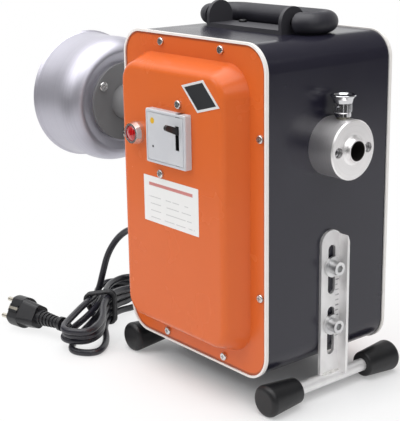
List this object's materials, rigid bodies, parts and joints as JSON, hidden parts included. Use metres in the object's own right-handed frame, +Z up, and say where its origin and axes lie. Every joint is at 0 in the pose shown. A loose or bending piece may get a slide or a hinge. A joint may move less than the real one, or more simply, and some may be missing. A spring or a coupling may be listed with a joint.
{
  "type": "electric drain cleaning machine",
  "caption": "Sectional drain cleaning machine: boxy motor case with a hollow belt-driven spindle, a sliding bell that closes a cable clutch, hose coupling, folding handle and mains cord.",
  "frame": {"origin": "on the floor under the middle of the machine's box, cord left out", "axes": "+X along the spindle from the bell to the hose coupling, +Y from the front cover to the back, +Z up"},
  "size_m": [0.4206, 0.2481, 0.3556],
  "materials": {
    "orange_paint": "gloss",
    "charcoal_paint": "satin, fine orange peel",
    "trim_plastic": "satin",
    "zinc_steel": "zinc plated",
    "switch_plastic": "satin",
    "switch_housing": "moulded",
    "lever_plastic": "moulded, satin",
    "chrome": "polished",
    "red_lens": "clear coloured moulding",
    "turned_steel": "turned",
    "black_steel": "blackened",
    "brass": "plain",
    "bronze": "sintered",
    "spring_steel": "drawn wire",
    "cast_iron": "as cast and painted",
    "belt_rubber": "matt",
    "fan_plastic": "moulded",
    "capacitor_can": "drawn can",
    "bell_aluminium": "spun, satin",
    "disc_paint": "dark anodised",
    "bracket_paint": "satin",
    "bail_steel": "drawn bar",
    "grip_rubber": "soft, matt",
    "foot_rubber": "matt",
    "cord_plastic": "soft, slightly glossy"
  },
  "bodies": {
    "case": {"case_shell": "charcoal_paint", "front_cover": "orange_paint", "back_cover": "orange_paint", "front_trim": "trim_plastic", "back_trim": "trim_plastic", "front_cover_screws": "zinc_steel", "back_cover_screws": "zinc_steel", "switch_plate": "switch_plastic", "switch_body": "switch_housing", "lamp_bezel": "chrome", "lamp_lens": "red_lens", "hose_coupling": "turned_steel", "coupling_screws": "black_steel", "plunger_sleeve": "brass", "plunger_spring": "spring_steel", "rear_bearing_housing": "cast_iron", "rear_bearing_outer": "turned_steel", "rear_bearing_balls": "turned_steel", "spindle_neck": "turned_steel", "neck_screws": "zinc_steel", "front_bush": "bronze", "drive_belt": "belt_rubber", "motor_body": "cast_iron", "motor_bolts": "zinc_steel", "capacitor": "capacitor_can", "capacitor_clip": "switch_housing", "bell_spring": "spring_steel", "handle_bracket": "bracket_paint", "handle_screws": "zinc_steel", "bracket_bolts": "zinc_steel", "bracket_washers": "zinc_steel", "cord_gland": "cord_plastic", "mains_lead": "cord_plastic", "mains_hank": "cord_plastic", "mains_tail": "cord_plastic", "plug_body": "cord_plastic", "plug_contacts": "brass"},
    "spindle": {"spindle_tube": "turned_steel", "rear_bearing_inner": "turned_steel", "spindle_pulley": "cast_iron", "chuck_body": "turned_steel"},
    "jaw_1": {"chuck_jaw_1": "turned_steel"},
    "jaw_2": {"chuck_jaw_2": "turned_steel"},
    "jaw_3": {"chuck_jaw_3": "turned_steel"},
    "bell": {"bell": "bell_aluminium", "bell_hub": "disc_paint", "bell_screws": "zinc_steel", "clutch_ring": "turned_steel"},
    "motor_rotor": {"motor_shaft": "turned_steel", "motor_pulley": "cast_iron", "motor_fan": "fan_plastic"},
    "switch_lever": {"switch_lever": "lever_plastic"},
    "plunger": {"plunger_knob": "chrome", "plunger_pin": "turned_steel"},
    "left_foot": {"left_foot_bracket": "zinc_steel", "left_foot_tips": "foot_rubber"},
    "right_foot": {"right_foot_bracket": "zinc_steel", "right_foot_tips": "foot_rubber"},
    "handle": {"handle_bail": "bail_steel", "handle_grip": "grip_rubber"}
  },
  "joints": [
    {"name": "spindle_spin", "type": "hinge", "parent": "case", "child": "spindle", "pos_m": [0.07675, 0.01019, 0.237], "axis": [1, 0, 0], "continuous": true},
    {"name": "motor_spin", "type": "hinge", "parent": "case", "child": "motor_rotor", "pos_m": [0.07675, 0.01019, 0.109], "axis": [1, 0, 0], "continuous": true},
    {"name": "bell_pull", "type": "slide", "parent": "case", "child": "bell", "axis": [1, 0, 0], "range_m": [0, 0.01], "stiffness_N_per_m": 2000, "springref_m": -0.01, "deforming": ["bell_spring"]},
    {"name": "jaw_1_slide", "type": "slide", "parent": "spindle", "child": "jaw_1", "axis": [0, 0, -1], "range_m": [0, 0.002]},
    {"name": "jaw_2_slide", "type": "slide", "parent": "spindle", "child": "jaw_2", "axis": [0, 0.866, 0.5], "range_m": [0, 0.002]},
    {"name": "jaw_3_slide", "type": "slide", "parent": "spindle", "child": "jaw_3", "axis": [0, -0.866, 0.5], "range_m": [0, 0.002]},
    {"name": "switch_flip", "type": "hinge", "parent": "case", "child": "switch_lever", "pos_m": [0.09425, -0.08181, 0.2454], "axis": [1, 0, 0], "range_deg": [0, 46]},
    {"name": "plunger_pull", "type": "slide", "parent": "case", "child": "plunger", "axis": [0, 0, 1], "range_m": [0, 0.006], "stiffness_N_per_m": 1500, "springref_m": -0.003, "deforming": ["plunger_spring"]},
    {"name": "left_foot_slide", "type": "slide", "parent": "case", "child": "left_foot", "axis": [0, 0, 1], "range_m": [-0.0115, 0.008]},
    {"name": "right_foot_slide", "type": "slide", "parent": "case", "child": "right_foot", "axis": [0, 0, 1], "range_m": [-0.0115, 0.008]},
    {"name": "handle_fold", "type": "hinge", "parent": "case", "child": "handle", "pos_m": [0.07675, 0.01019, 0.3411], "axis": [1, 0, 0], "range_deg": [0, 180]}
  ],
  "couplings": [
    {"joint": "motor_spin", "follows": "spindle_spin", "ratio": 2.5},
    {"joint": "jaw_1_slide", "follows": "bell_pull", "ratio": 0.2},
    {"joint": "jaw_2_slide", "follows": "bell_pull", "ratio": 0.2},
    {"joint": "jaw_3_slide", "follows": "bell_pull", "ratio": 0.2}
  ]
}
